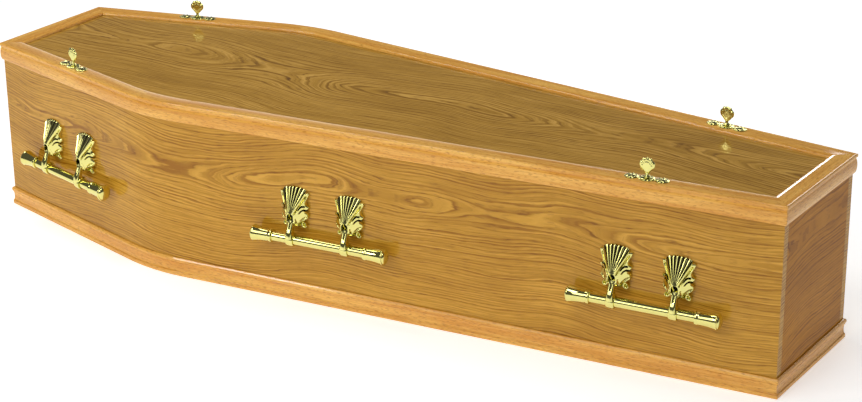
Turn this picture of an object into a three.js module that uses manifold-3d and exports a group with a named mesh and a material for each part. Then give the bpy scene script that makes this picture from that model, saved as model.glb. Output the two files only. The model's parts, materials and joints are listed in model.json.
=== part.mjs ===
// A wooden coffin of the tapered, shouldered kind: a case of veneered boards on a moulded plinth,
// a flat lid board inside a raised moulded frame, six swinging bar handles and four lid thumb-screws.
// Millimetres, +Z up, +X towards the foot. The origin is on the floor under the middle of the length.
// "Right" and "left" are those of a person lying on their back in it: right is -Y, left is +Y.
import * as THREE from 'three'
import { mergeVertices } from 'three/addons/utils/BufferGeometryUtils.js'
import Module from 'manifold-3d'

const wasm = await Module()
wasm.setup()

// Case, measured over the outer faces of its boards
const case_length = 1930
const head_width = 331
const shoulder_width = 607
const foot_width = 319
const shoulder_from_head = 528
const shoulder_bend_radius = 440
const overall_height = 393
const side_thickness = 18
const base_thickness = 18
const lid_thickness = 18

// Gap left between pieces that touch
const joint_gap = 0.3

// Lid frame moulding: a flange on the lid board and a skirt outside the case
const lid_flange_width = 37
const lid_flange_height = 7
const lid_band_height = 41
const lid_overhang = 6.4
const lid_nosing_height = 7
const lid_step_depth = 2.2
const lid_nosing_round_depth = 2
const lid_nosing_round_height = 2.4
const lid_skirt_foot_width = 1.6
const lid_swell_depth = 4.2
const lid_swell_setback = 0.4
const lid_swell_relief = 1
const lid_inner_bead_depth = 4.4
const lid_inner_bead_foot = 0.6
const lid_joint_share = 0.4

// Base moulding: bead over cove over foot
const base_band_height = 41
const base_bead_projection = 6
const base_bead_depth = 4.4
const base_bead_height = 11
const base_cove_projection = 2
const base_cove_fillet = 0.6
const base_foot_projection = 5
const base_foot_height = 8
const base_foot_ledge = 1

// Handles: where they are on the case
const head_handle_from_head = 249
const handle_pitch = 709
const hinge_height = 185
const hinge_standoff = 24
const arm_spacing = 128

// Handle bar with its flared end caps
const bar_radius = 10.5
const bar_length = 308
const cap_length = 46
const cap_collar_radius = 14.2
const cap_neck_radius = 13.9
const cap_rim_radius = 17.5
const cap_dome_rise = 5
const bar_sides = 10

// Handle arm: an eye on a pin, a strap, and a ring round the bar
const arm_drop = 38.5
const eye_radius = 5.5
const eye_width = 12
const eye_sides = 6
const pin_radius = 2
const pin_length = 20
const pin_sides = 6
const pin_clearance = 0.15
const strap_thickness = 8
const strap_chamfer = 2.7
const strap_foot_inset = 0.6
const ring_radius = 14.5
const ring_width = 17

// Handle backplate: a fluted fan over a dark socket, leaves and scrolls at its sides
const socket_above_hinge = 12
const socket_clearance = 1.3
const socket_sides = 8
const plate_crest = 29
const plate_rim_height = 2.5
const plate_body_reach = 20
const cheek_reach = 18
const cheek_height = 27.5
const fan_reach = 60
const fan_half_angle = 33
const fan_edge_angle = 4
const fan_flutes = 7
const fan_shoulder_reach = 37
const fan_shoulder_height = 24
const fan_top_height = 12
const flute_depth = 2.6
const scallop_depth = 2.4

// Lid screws: a three-leaved escutcheon under an upright thumb-screw
const screw_from_head = 256
const screw_from_foot = 277
const escutcheon_length = 90
const escutcheon_width = 30
const escutcheon_middle_leaf_length = 34
const escutcheon_end_leaf_width = 25.6
const escutcheon_waist_width = 10
const escutcheon_thickness = 2.6
const screw_height = 40
const screw_width = 32
const screw_thickness = 6
const screw_button_radius = 6.5
const screw_button_edge = 2.5
const screw_button_height = 5
const screw_neck_radius = 3.4
const screw_neck_height = 3
const screw_neck_sides = 8

// Heights that follow
const lid_board_top = overall_height - lid_flange_height - joint_gap
const lid_board_bottom = lid_board_top - lid_thickness
const side_top = lid_board_bottom - joint_gap
const deg = Math.PI / 180
// Points or angles closer than this are the same.
const same = 1e-4

// Materials
const finishes = {
  side_veneer: { color: 0xc99a4e, roughness: 0.3, metalness: 0 },
  end_veneer: { color: 0x966c3e, roughness: 0.3, metalness: 0 },
  lid_veneer: { color: 0xa57f3e, roughness: 0.28, metalness: 0 },
  moulding: { color: 0xdca658, roughness: 0.35, metalness: 0 },
  base_board: { color: 0xb58a50, roughness: 0.6, metalness: 0 },
  brass: { color: 0xd8cf72, roughness: 0.16, metalness: 1 },
}

// Geometry helpers

// A closed geometry from points and triangles, with its faces turned outwards.
function closedGeometry(points, triangles) {
  let volume = 0
  for (const [a, b, c] of triangles) {
    const [p, q, r] = [points[a], points[b], points[c]]
    volume += p[0] * (q[1] * r[2] - q[2] * r[1]) - p[1] * (q[0] * r[2] - q[2] * r[0])
    volume += p[2] * (q[0] * r[1] - q[1] * r[0])
  }
  const turned = volume < 0 ? triangles.map(([a, b, c]) => [a, c, b]) : triangles
  const geometry = new THREE.BufferGeometry()
  geometry.setAttribute('position', new THREE.Float32BufferAttribute(points.flat(), 3))
  geometry.setIndex(turned.flat())
  return geometry
}

// A section carried along rows of the plan: each row gives x and y for an offset outwards.
function sweep(rows, section) {
  const points = []
  for (const row of rows) for (const [offset, z] of section) points.push([...row(offset), z])
  const count = section.length
  const triangles = []
  for (let i = 0; i + 1 < rows.length; i++) {
    for (let j = 0; j < count; j++) {
      const a = i * count + j
      const b = i * count + (j + 1) % count
      triangles.push([a, b, b + count], [a, b + count, a + count])
    }
  }
  const flat = section.map(([offset, z]) => new THREE.Vector2(offset, z))
  const last = (rows.length - 1) * count
  const clockwise = THREE.ShapeUtils.isClockWise(flat)
  for (const [a, b, c] of THREE.ShapeUtils.triangulateShape(flat, [])) {
    const [p, q, r] = clockwise ? [a, b, c] : [a, c, b]
    triangles.push([p, q, r], [p + last, r + last, q + last])
  }
  return closedGeometry(points, triangles)
}

// A flat board of a plan outline between two heights.
function board(outline, bottom, top) {
  const shape = new THREE.Shape(outline.map(([x, y]) => new THREE.Vector2(x, y)))
  const geometry = new THREE.ExtrudeGeometry(shape, { depth: top - bottom, bevelEnabled: false })
  return geometry.translate(0, 0, bottom)
}

function toSolid(geometry) {
  const bare = geometry.clone()
  bare.deleteAttribute('normal')
  bare.deleteAttribute('uv')
  const merged = mergeVertices(bare, same)
  const mesh = new wasm.Mesh({
    numProp: 3,
    vertProperties: new Float32Array(merged.attributes.position.array),
    triVerts: new Uint32Array(merged.index.array),
  })
  return new wasm.Manifold(mesh)
}

function toGeometry(solid) {
  const mesh = solid.getMesh()
  const geometry = new THREE.BufferGeometry()
  geometry.setAttribute('position', new THREE.Float32BufferAttribute(mesh.vertProperties, 3))
  geometry.setIndex([...mesh.triVerts])
  return geometry
}

// A cylinder along X, centred on the origin.
function rod(radius, length, sides) {
  return new THREE.CylinderGeometry(radius, radius, length, sides).rotateZ(Math.PI / 2)
}

const group = new THREE.Group()

function add(name, geometry, finish, parent = group) {
  const mesh = new THREE.Mesh(geometry, new THREE.MeshStandardMaterial(finishes[finish]))
  mesh.name = name
  parent.add(mesh)
  return mesh
}

// Plan of the case

// The left side runs from the head corner to the shoulder and on to the foot corner.
const head_corner = new THREE.Vector2(-case_length / 2, head_width / 2)
const shoulder_corner = new THREE.Vector2(shoulder_from_head - case_length / 2, shoulder_width / 2)
const foot_corner = new THREE.Vector2(case_length / 2, foot_width / 2)
const head_run = shoulder_corner.clone().sub(head_corner).normalize()
const foot_run = foot_corner.clone().sub(shoulder_corner).normalize()
const head_bearing = Math.atan2(head_run.y, head_run.x)
const foot_bearing = Math.atan2(foot_run.y, foot_run.x)
const bend_turn = head_bearing - foot_bearing
const bend_tangent = shoulder_bend_radius * Math.tan(bend_turn / 2)
const bend_rows = 6

// Outward normal of a run with this bearing.
const outward = (bearing) => new THREE.Vector2(-Math.sin(bearing), Math.cos(bearing))

const bend_centre = shoulder_corner.clone()
  .addScaledVector(head_run, -bend_tangent)
  .addScaledVector(outward(head_bearing), -shoulder_bend_radius)

// y of a straight run's line, moved outwards by an offset, at a given x.
function lineY(corner, bearing, offset, x) {
  const start = corner.clone().addScaledVector(outward(bearing), offset)
  return start.y + (x - start.x) * Math.tan(bearing)
}

// Rows of the left side. The ends are at the head and foot planes, moved out by end_reach(offset).
function headEndRow(end_reach) {
  return (offset) => {
    const x = -case_length / 2 - end_reach(offset)
    return [x, lineY(head_corner, head_bearing, offset, x)]
  }
}

function footEndRow(end_reach) {
  return (offset) => {
    const x = case_length / 2 + end_reach(offset)
    return [x, lineY(foot_corner, foot_bearing, offset, x)]
  }
}

function bendRow(share) {
  return (offset) => {
    const normal = outward(head_bearing - bend_turn * share)
    const point = bend_centre.clone().addScaledVector(normal, shoulder_bend_radius + offset)
    return [point.x, point.y]
  }
}

function bendRows(from, to, count) {
  return Array.from({ length: count }, (_, i) => bendRow(from + (to - from) * i / (count - 1)))
}

const mirrored = (rows) => rows.map((row) => (offset) => [row(offset)[0], -row(offset)[1]])
const sided = (side, rows) => (side === 'left' ? rows : mirrored(rows))

// The plan outline at one offset, once round, with its ends at the planes given by end_reach.
function planOutline(offset, end_reach) {
  const rows = [headEndRow(end_reach), ...bendRows(0, 1, bend_rows), footEndRow(end_reach)]
  const left = rows.map((row) => row(offset))
  const right = left.map(([x, y]) => [x, -y]).reverse()
  return [...right, ...left]
}

// Boards

const flush = () => 0
const side_section = [[0, 0], [0, side_top], [-side_thickness, side_top], [-side_thickness, 0]]
for (const side of ['right', 'left']) {
  const rows = [headEndRow(flush), ...bendRows(0, 1, bend_rows), footEndRow(flush)]
  add(`side_panel_${side}`, sweep(sided(side, rows), side_section), 'side_veneer')
}

const inside_offset = -(side_thickness + joint_gap)
for (const [end, sign, corner, bearing] of [
  ['head', -1, head_corner, head_bearing],
  ['foot', 1, foot_corner, foot_bearing],
]) {
  const outer = sign * case_length / 2
  const inner = sign * (case_length / 2 - side_thickness)
  const wide = lineY(corner, bearing, inside_offset, outer)
  const narrow = lineY(corner, bearing, inside_offset, inner)
  const outline = [[outer, -wide], [outer, wide], [inner, narrow], [inner, -narrow]]
  if (sign > 0) outline.reverse()
  add(`${end}_panel`, board(outline, 0, side_top), 'end_veneer')
}

const inside_ends = () => inside_offset
add('base_board', board(planOutline(inside_offset, inside_ends), 0, base_thickness), 'base_board')
add('lid_board', board(planOutline(0, flush), lid_board_bottom, lid_board_top), 'lid_veneer')

// Mouldings

// Points of a round stretch in a section, from one angle to another in degrees.
function arc({ centre, radii, from, to, steps }) {
  return Array.from({ length: steps + 1 }, (_, i) => {
    const angle = (from + (to - from) * i / steps) * deg
    return [centre[0] + radii[0] * Math.cos(angle), centre[1] + radii[1] * Math.sin(angle)]
  })
}

// Base moulding: a foot, a hollow cove and a round bead on top.
const cove_bottom = base_foot_height + base_foot_ledge
const bead_bottom = base_band_height - base_bead_height
const cove_centre = [base_foot_projection - base_cove_fillet, (cove_bottom + bead_bottom) / 2]
const bead_centre = [base_bead_projection - base_bead_depth, base_band_height - base_bead_height / 2]
const base_section = [
  [joint_gap, 0],
  [base_foot_projection, 0],
  [base_foot_projection, base_foot_height],
  ...arc({
    centre: cove_centre,
    radii: [cove_centre[0] - base_cove_projection, (bead_bottom - cove_bottom) / 2],
    from: 270,
    to: 90,
    steps: 3,
  }),
  ...arc({
    centre: bead_centre,
    radii: [base_bead_depth, base_bead_height / 2],
    from: -60,
    to: 90,
    steps: 3,
  }),
  [joint_gap, base_band_height],
]

// Lid moulding: skirt with a swelling face, a step and a nosing, then a flange ending in a bead.
const skirt_bottom = overall_height - lid_band_height
const nosing_bottom = overall_height - lid_nosing_height
const flange_bottom = lid_board_top + joint_gap
const inner_edge = -lid_flange_width
const swell_height = nosing_bottom - lid_swell_relief - skirt_bottom
const swell_middle = lid_overhang - lid_swell_setback - lid_swell_depth
const inner_bead_bottom = flange_bottom + lid_inner_bead_foot
const lid_section = [
  [joint_gap, skirt_bottom],
  [joint_gap + lid_skirt_foot_width, skirt_bottom],
  ...arc({
    centre: [swell_middle, skirt_bottom + swell_height / 2],
    radii: [lid_swell_depth, swell_height / 2],
    from: -60,
    to: 55,
    steps: 2,
  }),
  [lid_overhang - lid_step_depth, nosing_bottom],
  [lid_overhang, nosing_bottom],
  ...arc({
    centre: [lid_overhang - lid_nosing_round_depth, overall_height - lid_nosing_round_height],
    radii: [lid_nosing_round_depth, lid_nosing_round_height],
    from: 0,
    to: 90,
    steps: 1,
  }),
  ...arc({
    centre: [inner_edge + lid_inner_bead_depth, inner_bead_bottom],
    radii: [lid_inner_bead_depth, overall_height - inner_bead_bottom],
    from: 90,
    to: 180,
    steps: 2,
  }),
  [inner_edge, flange_bottom],
  [joint_gap, flange_bottom],
]

// Mouldings reach out past the ends by their own offset, so that they meet in mitres.
const mitre_gap = joint_gap / Math.SQRT2
const mitre = (offset) => offset - mitre_gap

// A moulding along one end, between the mitres of the two sides.
function endMoulding(sign, corner, bearing, section) {
  const rows = [-1, 1].map((edge) => (offset) => {
    const x = sign * (case_length / 2 + offset)
    return [x, edge * (lineY(corner, bearing, offset, x) - mitre_gap)]
  })
  return sweep(rows, section)
}

// The two lengths of a side's lid moulding meet in the bend, a gap apart.
const joint_half_share = joint_gap / 2 / (shoulder_bend_radius * bend_turn)
const lid_head_bend_rows = 4
const lid_foot_bend_rows = 5

for (const side of ['right', 'left']) {
  const base_rows = [headEndRow(mitre), ...bendRows(0, 1, bend_rows), footEndRow(mitre)]
  add(`base_moulding_${side}`, sweep(sided(side, base_rows), base_section), 'moulding')

  const head_bend = bendRows(0, lid_joint_share - joint_half_share, lid_head_bend_rows)
  const foot_bend = bendRows(lid_joint_share + joint_half_share, 1, lid_foot_bend_rows)
  const head_rows = [headEndRow(mitre), ...head_bend]
  const foot_rows = [...foot_bend, footEndRow(mitre)]
  add(`lid_moulding_${side}_head`, sweep(sided(side, head_rows), lid_section), 'moulding')
  add(`lid_moulding_${side}_foot`, sweep(sided(side, foot_rows), lid_section), 'moulding')
}
for (const [end, sign, corner, bearing] of [
  ['head', -1, head_corner, head_bearing],
  ['foot', 1, foot_corner, foot_bearing],
]) {
  add(`base_moulding_${end}`, endMoulding(sign, corner, bearing, base_section), 'moulding')
  add(`lid_moulding_${end}`, endMoulding(sign, corner, bearing, lid_section), 'moulding')
}

// Handle fittings, each in a frame of its own: X along the bar, Y out from the side, Z up

// Handle bar: a plain rod whose flared caps end in a low dome.
function handleBar() {
  const half = bar_length / 2
  const end = [
    [0, half + cap_dome_rise],
    [cap_rim_radius, half],
    [cap_neck_radius, half - cap_length / 2],
    [cap_collar_radius, half - cap_length],
    [bar_radius, half - cap_length],
  ]
  const profile = [...end, ...end.map(([radius, along]) => [radius, -along]).reverse()]
  const points = profile.map(([radius, along]) => new THREE.Vector2(radius, along)).reverse()
  return new THREE.LatheGeometry(points, bar_sides).rotateZ(Math.PI / 2)
}

// Handle arm, with the axis of its pin at the origin and the bar below.
function handleArm() {
  const half_top = eye_width / 2
  const half_bottom = ring_width / 2 - strap_foot_inset
  const half_thick = strap_thickness / 2
  const strapSection = (half_width) => [
    [-half_width, -half_thick],
    [half_width, -half_thick],
    [half_width - strap_chamfer, half_thick],
    [-half_width + strap_chamfer, half_thick],
  ]
  const points = [
    ...strapSection(half_bottom).map(([x, y]) => [x, y, -arm_drop]),
    ...strapSection(half_top).map(([x, y]) => [x, y, 0]),
  ]
  const count = points.length / 2
  const triangles = []
  for (let i = 0; i < count; i++) {
    const next = (i + 1) % count
    triangles.push([i, next, next + count], [i, next + count, i + count])
    if (i > 0 && next > 0) triangles.push([0, next, i], [count, i + count, next + count])
  }
  const strap = toSolid(closedGeometry(points, triangles))
  const ring = toSolid(rod(ring_radius, ring_width, bar_sides)).translate(0, 0, -arm_drop)
  const eye = toSolid(rod(eye_radius, eye_width, eye_sides))
  const pin = toSolid(rod(pin_radius, pin_length, pin_sides))
  const bore_radius = bar_radius + joint_gap / Math.cos(Math.PI / bar_sides)
  const bore = toSolid(rod(bore_radius, ring_width * 2, bar_sides)).translate(0, 0, -arm_drop)
  return toGeometry(strap.add(ring).add(eye).add(pin).subtract(bore))
}

// Leaves of a backplate's outline: angle from straight up, reach from the socket, half spread.
const plate_leaves = [
  { angle: 37, reach: 58, spread: 14 },
  { angle: 61, reach: 39, spread: 22 },
  { angle: 98, reach: 32.5, spread: 30 },
  { angle: 134, reach: 39, spread: 19 },
  { angle: 164, reach: 28, spread: 30 },
]
// How much lower than its tip a leaf's outline is at the ends of its spread, as a share.
const leaf_shoulder_share = 0.4

// Reach of the backplate's outline at an angle from straight up, the same on both sides.
function plateReach(angle) {
  const turned = Math.abs(angle)
  let reach = plate_body_reach
  for (const leaf of plate_leaves) {
    const away = Math.abs(turned - leaf.angle) / leaf.spread
    if (away < 1) reach = Math.max(reach, leaf.reach * (1 - leaf_shoulder_share * away * away))
  }
  if (turned <= fan_half_angle) {
    const scallop = Math.abs(Math.cos(Math.PI * fan_flutes * angle / (2 * fan_half_angle)))
    reach = Math.max(reach, fan_reach - scallop_depth * (1 - scallop))
  }
  return reach
}

// Angles of the backplate's outline once round: each flute's valleys and crest, then the sides.
const half_flute = fan_half_angle / fan_flutes
const fan_angles = Array.from({ length: 2 * fan_flutes + 1 }, (_, i) => i * half_flute - fan_half_angle)
const side_angles = [fan_half_angle + fan_edge_angle, 47, 61, 77, 98, 117, 134, 151, 164]
const plate_angles = [
  ...fan_angles,
  ...side_angles,
  180,
  ...side_angles.map((angle) => -angle).reverse(),
]

// Backplate, with the axis of the pin at the origin. Its crest is over the socket. A shoulder runs
// round the crest, high on the fan and as the two cheeks that hold the pin, and falls to the rim.
function backplate() {
  const back = -hinge_standoff + joint_gap
  const around = (reachAt, heightAt) => plate_angles.map((angle, i) => {
    const on_fan = Math.abs(angle) <= fan_half_angle + same
    const in_valley = on_fan && i % 2 === 0
    const reach = reachAt(angle, on_fan)
    const height = heightAt(on_fan) - (in_valley ? flute_depth * reach / fan_reach : 0)
    const [across, up] = [Math.sin(angle * deg), Math.cos(angle * deg)]
    return [reach * across, back + height, socket_above_hinge + reach * up]
  })
  const shoulder = around(
    (angle, on_fan) => (on_fan ? fan_shoulder_reach : cheek_reach),
    (on_fan) => (on_fan ? fan_shoulder_height : cheek_height),
  )
  const rim = around(plateReach, (on_fan) => (on_fan ? fan_top_height : plate_rim_height))
  const foot = rim.map(([across, , up]) => [across, back, up])
  const crest = [0, back + plate_crest, socket_above_hinge]
  const under = [0, back, socket_above_hinge]
  const points = [crest, ...shoulder, ...rim, ...foot, under]

  const count = plate_angles.length
  const triangles = []
  for (let i = 0; i < count; i++) {
    const [a, b] = [1 + i, 1 + (i + 1) % count]
    triangles.push([0, a, b])
    for (const ring of [0, count]) {
      triangles.push([a + ring, a + ring + count, b + ring + count])
      triangles.push([a + ring, b + ring + count, b + ring])
    }
    triangles.push([a + 2 * count, points.length - 1, b + 2 * count])
  }
  const shell = toSolid(closedGeometry(points, triangles))

  // The socket is a round-topped slot, open in front and below, where the arm's eye turns.
  const socket_radius = eye_width / 2 + socket_clearance
  const floor = -eye_radius - socket_clearance
  const slot_depth = plate_crest
  const slot_height = socket_above_hinge + fan_reach
  const slot = toSolid(new THREE.BoxGeometry(2 * socket_radius, slot_depth, slot_height))
    .translate(0, floor + slot_depth / 2, socket_above_hinge - slot_height / 2)
  const socket = new THREE.CylinderGeometry(socket_radius, socket_radius, slot_depth, socket_sides)
  const round_top = toSolid(socket).translate(0, floor + slot_depth / 2, socket_above_hinge)
  const hole_radius = (pin_radius + pin_clearance) / Math.cos(Math.PI / pin_sides)
  const pin_hole = toSolid(rod(hole_radius, pin_length + 2 * pin_clearance, pin_sides))
  return toGeometry(shell.subtract(slot.add(round_top)).subtract(pin_hole))
}

// A point on the side panel's outer face at a given x, and the outward bearing there.
function onSide(side, x) {
  const towards_head = x < shoulder_corner.x
  const bearing = towards_head ? head_bearing : foot_bearing
  const corner = towards_head ? head_corner : foot_corner
  const sign = side === 'left' ? 1 : -1
  const normal = outward(bearing)
  return { x, y: sign * lineY(corner, bearing, 0, x), nx: normal.x, ny: sign * normal.y }
}

// A group whose Y points out from the side and whose Z is up.
function fittingGroup(place, out, z) {
  const frame = new THREE.Group()
  frame.position.set(place.x + place.nx * out, place.y + place.ny * out, z)
  frame.rotation.z = Math.atan2(-place.nx, place.ny)
  group.add(frame)
  return frame
}

const bar_geometry = handleBar()
const arm_geometry = handleArm()
const backplate_geometry = backplate()
for (const side of ['right', 'left']) {
  for (const [i, station] of ['head', 'middle', 'foot'].entries()) {
    const x = -case_length / 2 + head_handle_from_head + handle_pitch * i
    const handle = fittingGroup(onSide(side, x), hinge_standoff, hinge_height)
    const bar = add(`handle_${side}_${station}_bar`, bar_geometry, 'brass', handle)
    bar.position.z = -arm_drop
    for (const [j, edge] of [[1, -0.5], [2, 0.5]]) {
      const arm = add(`handle_${side}_${station}_arm_${j}`, arm_geometry, 'brass', handle)
      const plate = add(`handle_${side}_${station}_backplate_${j}`, backplate_geometry, 'brass', handle)
      arm.position.x = edge * arm_spacing
      plate.position.x = edge * arm_spacing
    }
  }
}

// Lid screws: X along the moulding, Z up from its flat top

// Leaves of the escutcheon: one in the middle and one at each end.
const middle_leaf_half = escutcheon_middle_leaf_length / 2
const end_leaf_half = (escutcheon_length / 2 - middle_leaf_half) / 2
const end_leaf_middle = middle_leaf_half + end_leaf_half
const escutcheon_leaves = [
  { middle: -end_leaf_middle, half_length: end_leaf_half, width: escutcheon_end_leaf_width },
  { middle: 0, half_length: middle_leaf_half, width: escutcheon_width },
  { middle: end_leaf_middle, half_length: end_leaf_half, width: escutcheon_end_leaf_width },
]
// Shares of a leaf's half length at which the outline has a point. It ends at the waists.
const leaf_shares = [-1, -0.72, 0, 0.72]

function escutcheon() {
  const edge = escutcheon_leaves.flatMap((leaf) => leaf_shares.map((share) => {
    const width = Math.max(escutcheon_waist_width, leaf.width * Math.sqrt(1 - share * share))
    return [leaf.middle + leaf.half_length * share, width / 2]
  }))
  const top = [...edge, [escutcheon_length / 2, escutcheon_waist_width / 2]]
  const bottom = top.map(([x, y]) => [x, -y]).reverse()
  const shape = new THREE.Shape([...top, ...bottom].map(([x, y]) => new THREE.Vector2(x, y)))
  const plate = new THREE.ExtrudeGeometry(shape, { depth: escutcheon_thickness, bevelEnabled: false })
  return plate.translate(0, 0, joint_gap)
}

// Thumb-screw: a round button and neck under a flat shield with a five-pointed crown.
function thumbScrew() {
  const half = screw_width / 2
  const blade_bottom = screw_button_height + screw_neck_height
  const rise = screw_height - blade_bottom
  const edge = [
    [0.22, 0],
    [0.34, 0.18],
    [0.66, 0.42],
    [0.98, 0.62],
    [0.86, 0.8],
    [0.7, 0.72],
    [0.56, 0.94],
    [0.3, 0.84],
    [0, 1],
  ]
  const right = edge.map(([across, up]) => [half * across, blade_bottom + rise * up])
  const outline = [...right, ...right.slice(0, -1).reverse().map(([x, z]) => [-x, z])]
  const shape = new THREE.Shape(outline.map(([x, z]) => new THREE.Vector2(x, z)))
  const blade = new THREE.ExtrudeGeometry(shape, { depth: screw_thickness, bevelEnabled: false })
    .rotateX(Math.PI / 2)
    .translate(0, screw_thickness / 2, 0)
  const stem_points = [
    [0, 0],
    [screw_button_radius, 0],
    [screw_button_radius, screw_button_edge],
    [screw_neck_radius, screw_button_height],
    [screw_neck_radius, blade_bottom + screw_neck_height],
    [0, blade_bottom + screw_neck_height],
  ]
  const profile = stem_points.map(([radius, z]) => new THREE.Vector2(radius, z))
  const stem = new THREE.LatheGeometry(profile, screw_neck_sides).rotateX(Math.PI / 2)
  return toGeometry(toSolid(blade).add(toSolid(stem)))
}

const escutcheon_geometry = escutcheon()
const screw_geometry = thumbScrew()
const flange_middle = (lid_overhang - lid_flange_width) / 2
for (const side of ['right', 'left']) {
  for (const [end, x] of [
    ['head', -case_length / 2 + screw_from_head],
    ['foot', case_length / 2 - screw_from_foot],
  ]) {
    const frame = fittingGroup(onSide(side, x), flange_middle, overall_height)
    add(`lid_screw_plate_${side}_${end}`, escutcheon_geometry, 'brass', frame)
    const screw = add(`lid_screw_${side}_${end}`, screw_geometry, 'brass', frame)
    screw.position.z = escutcheon_thickness + 2 * joint_gap
  }
}

export default group
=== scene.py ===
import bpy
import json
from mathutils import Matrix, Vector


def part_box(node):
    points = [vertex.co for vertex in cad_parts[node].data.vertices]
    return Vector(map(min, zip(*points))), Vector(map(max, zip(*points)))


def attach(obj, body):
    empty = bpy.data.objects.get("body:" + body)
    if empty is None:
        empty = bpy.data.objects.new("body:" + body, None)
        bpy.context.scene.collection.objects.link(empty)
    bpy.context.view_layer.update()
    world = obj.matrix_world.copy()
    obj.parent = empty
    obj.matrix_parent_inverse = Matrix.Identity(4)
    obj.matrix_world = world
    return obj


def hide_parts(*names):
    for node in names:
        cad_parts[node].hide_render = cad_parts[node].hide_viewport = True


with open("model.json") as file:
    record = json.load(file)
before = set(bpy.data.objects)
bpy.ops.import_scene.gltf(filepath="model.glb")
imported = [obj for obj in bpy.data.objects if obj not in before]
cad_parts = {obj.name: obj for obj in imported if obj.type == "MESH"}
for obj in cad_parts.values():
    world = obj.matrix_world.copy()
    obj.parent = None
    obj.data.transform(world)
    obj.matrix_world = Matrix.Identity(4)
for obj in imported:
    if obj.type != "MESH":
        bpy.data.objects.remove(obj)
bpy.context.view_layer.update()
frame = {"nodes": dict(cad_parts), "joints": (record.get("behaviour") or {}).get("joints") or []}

# A wooden coffin: oak-veneered boards under clear gloss lacquer, solid oak mouldings, and
# bright brass-plated fittings. Metres, +Z up, +X towards the foot. Profiles are in millimetres.
import json
import math

import bmesh
import bpy
from mathutils import Matrix, Vector

mm = 0.001

# Board and moulding sizes, in millimetres
board_thickness = 18
gap = 0.3
edge_bevel = 0.8
plinth_height = 41
frame_height = 41
frame_overhang = 6.4
frame_nosing = 7
frame_flange = 37
# Where the two lengths of the lid's side moulding meet, as a share of the bend
frame_joint_share = 0.4

# Handle sizes, in millimetres
pin_standoff = 24
arm_spacing = 128
bar_radius = 10.5
bar_length = 308
cap_length = 46
arm_drop = 38.5
arm_eye = 5.5
socket_up = 12
socket_radius = 7.3
socket_clearance = 1.3
pocket_radius = 6.6
pocket_floor = 3

# Lid fittings, in millimetres
escutcheon_length = 90


# Plan of the case, read from the lid board's outline

outline = sorted({
    (round(v.co.x, 5), round(v.co.y, 5))
    for v in frame["nodes"]["lid_board"].data.vertices
    if v.co.y > 0
})
head_corner, bend_start, bend_end, foot_corner = (
    Vector(outline[i]) for i in (0, 1, -2, -1)
)
half_length = foot_corner.x


def bearing_of(start, end):
    return math.atan2(end.y - start.y, end.x - start.x)


def outward(bearing):
    return Vector((-math.sin(bearing), math.cos(bearing)))


head_bearing = bearing_of(head_corner, bend_start)
foot_bearing = bearing_of(bend_end, foot_corner)
bend_turn = head_bearing - foot_bearing
bend_radius = (bend_end - bend_start).length / (2 * math.sin(bend_turn / 2))
bend_centre = bend_start - outward(head_bearing) * bend_radius
head_run = (bend_start - head_corner).length
bend_run = bend_radius * bend_turn
foot_run = (foot_corner - bend_end).length


def station(along):
    """Point and bearing on the left side's outer face, at a length along it from the head."""
    if along < head_run:
        bearing = head_bearing
        point = head_corner + Vector((math.cos(bearing), math.sin(bearing))) * along
    elif along < head_run + bend_run:
        bearing = head_bearing - (along - head_run) / bend_radius
        point = bend_centre + outward(bearing) * bend_radius
    else:
        bearing = foot_bearing
        past = along - head_run - bend_run
        point = bend_end + Vector((math.cos(bearing), math.sin(bearing))) * past
    return point, bearing


def row_at(along):
    """A row of the left side: gives x and y for an offset outwards, in metres."""
    point, bearing = station(along)
    return lambda offset: point + outward(bearing) * offset


def end_row(end, reach):
    """The row in the plane of the head (-1) or foot (1) end, moved out by reach(offset)."""
    corner = head_corner if end < 0 else foot_corner
    bearing = head_bearing if end < 0 else foot_bearing

    def row(offset):
        start = corner + outward(bearing) * offset
        x = end * (half_length + reach(offset))
        return Vector((x, start.y + (x - start.x) * math.tan(bearing)))
    return row


def side_rows(start, stop, reach):
    """Rows and their lengths along the side, from start to stop. None is the plane of an end."""
    # A row just outside each end of the bend keeps the shading of the straight parts flat
    guard = 0.004
    steps = 24
    bends = [head_run - guard]
    bends += [head_run + bend_run * i / steps for i in range(steps + 1)]
    bends += [head_run + bend_run + guard]
    total = head_run + bend_run + foot_run
    low = -1 if start is None else start
    high = total + 1 if stop is None else stop
    kept = [s for s in bends if low < s < high]
    if start is not None:
        kept.insert(0, start)
    if stop is not None:
        kept.append(stop)
    rows = [(row_at(s), s) for s in kept]
    if start is None:
        rows.insert(0, (end_row(-1, reach), 0))
    if stop is None:
        rows.append((end_row(1, reach), total))
    return rows


# Mesh helpers

def finish_mesh(name, points, faces, uvs=None, sharp=32):
    """A smooth-shaded mesh whose edges over the sharp angle stay crisp."""
    mesh = bpy.data.meshes.new(name)
    mesh.from_pydata([tuple(p) for p in points], [], faces)
    if uvs:
        layer = mesh.uv_layers.new(name="grain")
        layer.data.foreach_set("uv", [c for face in uvs for corner in face for c in corner])
    work = bmesh.new()
    work.from_mesh(mesh)
    bmesh.ops.recalc_face_normals(work, faces=work.faces)
    work.to_mesh(mesh)
    work.free()
    mesh.shade_smooth()
    mesh.set_sharp_from_angle(angle=math.radians(sharp))
    return mesh


def new_object(name, data):
    made = bpy.data.objects.new(name, data)
    bpy.context.scene.collection.objects.link(made)
    return made


def place(name, mesh, material, body, node, matrix=None):
    """A piece that shows in place of a CAD node and rides on its body."""
    piece = new_object(name, mesh)
    if matrix is not None:
        piece.matrix_world = matrix
    if not mesh.materials:
        mesh.materials.append(material)
    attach(piece, body)
    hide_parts(node)


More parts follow.
